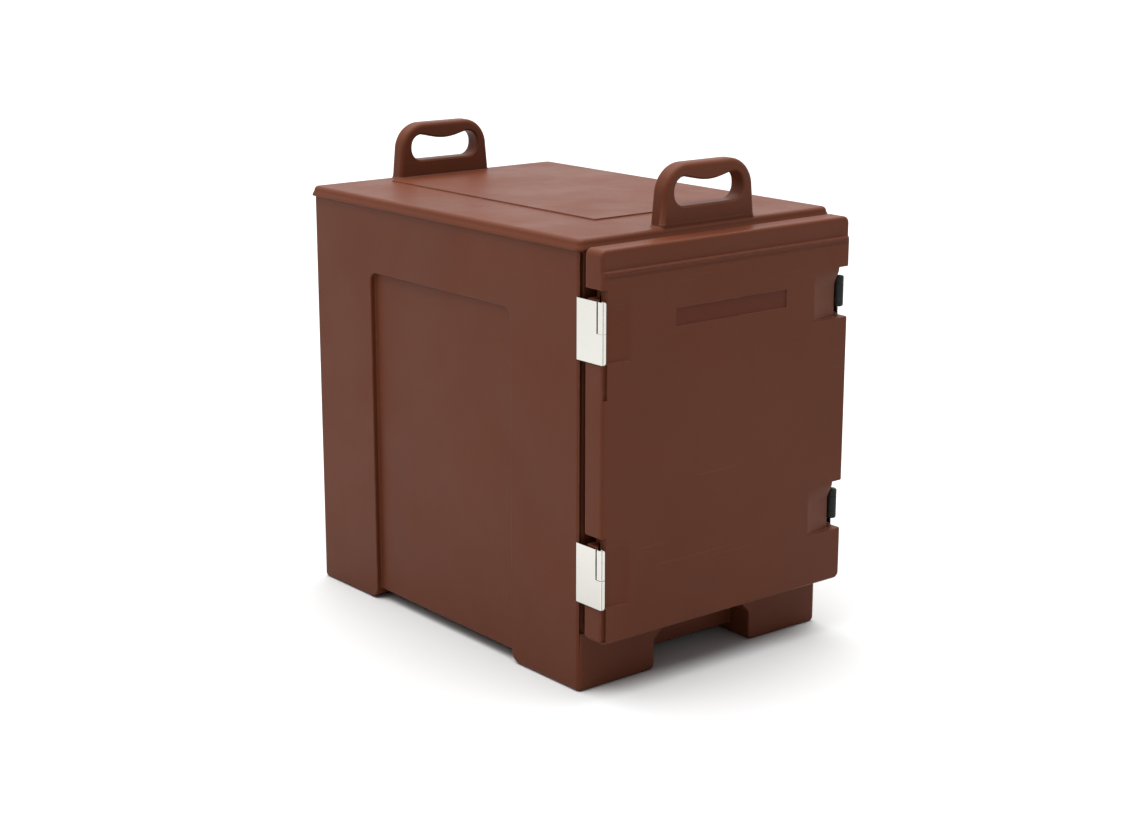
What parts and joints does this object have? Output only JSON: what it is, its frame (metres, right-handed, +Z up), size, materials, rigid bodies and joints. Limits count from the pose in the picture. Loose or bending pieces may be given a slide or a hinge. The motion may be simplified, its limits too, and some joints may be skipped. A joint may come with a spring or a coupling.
{
  "type": "insulated food carrier",
  "caption": "Foam-insulated, end-loading food pan carrier with a side-hinged gasketed door, steel latches, moulded carrying handles, moulded pan rails and corner feet.",
  "frame": {"origin": "on the floor under the feet, at the middle of the whole object's box", "axes": "+Z up; -Y is the front, where the door is; +X is the right-hand side seen from the front, where the hinges are"},
  "size_m": [0.439, 0.6504, 0.667],
  "materials": {
    "moulded_brown": "fine pebbled rotomoulded polyethylene, semi-matt",
    "liner_brown": "smooth satin polyethylene",
    "foam_core": "rigid polyurethane foam",
    "gasket_rubber": "matt black rubber",
    "black_plastic": "satin black nylon",
    "polished_steel": "bright polished stainless steel",
    "plain_steel": "plain stainless steel"
  },
  "bodies": {
    "cabinet": {"cabinet_fill_plug": "black_plastic", "cabinet_foam": "foam_core", "cabinet_liner": "liner_brown", "cabinet_shell": "moulded_brown", "lower_cabinet_leaf_screw_1": "plain_steel", "lower_cabinet_leaf_screw_2": "plain_steel", "lower_hinge_cabinet_leaf": "black_plastic", "lower_keeper_screw_1": "plain_steel", "lower_keeper_screw_2": "plain_steel", "lower_latch_keeper": "plain_steel", "upper_cabinet_leaf_screw_1": "plain_steel", "upper_cabinet_leaf_screw_2": "plain_steel", "upper_hinge_cabinet_leaf": "black_plastic", "upper_keeper_screw_1": "plain_steel", "upper_keeper_screw_2": "plain_steel", "upper_latch_keeper": "plain_steel"},
    "door": {"door_fill_plug": "black_plastic", "door_foam": "foam_core", "door_gasket": "gasket_rubber", "door_inner_panel": "liner_brown", "door_shell": "moulded_brown", "lower_door_leaf_screw_1": "plain_steel", "lower_door_leaf_screw_2": "plain_steel", "lower_hinge_door_leaf": "black_plastic", "lower_hinge_pin": "plain_steel", "lower_latch_base": "polished_steel", "lower_latch_base_screw_1": "plain_steel", "lower_latch_base_screw_2": "plain_steel", "lower_latch_pin": "plain_steel", "upper_door_leaf_screw_1": "plain_steel", "upper_door_leaf_screw_2": "plain_steel", "upper_hinge_door_leaf": "black_plastic", "upper_hinge_pin": "plain_steel", "upper_latch_base": "polished_steel", "upper_latch_base_screw_1": "plain_steel", "upper_latch_base_screw_2": "plain_steel", "upper_latch_pin": "plain_steel"},
    "upper_latch": {"upper_latch_lever": "polished_steel"},
    "lower_latch": {"lower_latch_lever": "polished_steel"}
  },
  "joints": [
    {"name": "door_hinge", "type": "hinge", "parent": "cabinet", "child": "door", "pos_m": [0.207, -0.31225, 0.33], "axis": [0, 0, 1], "range_deg": [0, 215]},
    {"name": "upper_latch_pivot", "type": "hinge", "parent": "door", "child": "upper_latch", "pos_m": [-0.2135, -0.32125, 0.4785], "axis": [0, 0, 1], "range_deg": [0, 120]},
    {"name": "lower_latch_pivot", "type": "hinge", "parent": "door", "child": "lower_latch", "pos_m": [-0.2135, -0.32125, 0.164], "axis": [0, 0, 1], "range_deg": [0, 120]}
  ]
}
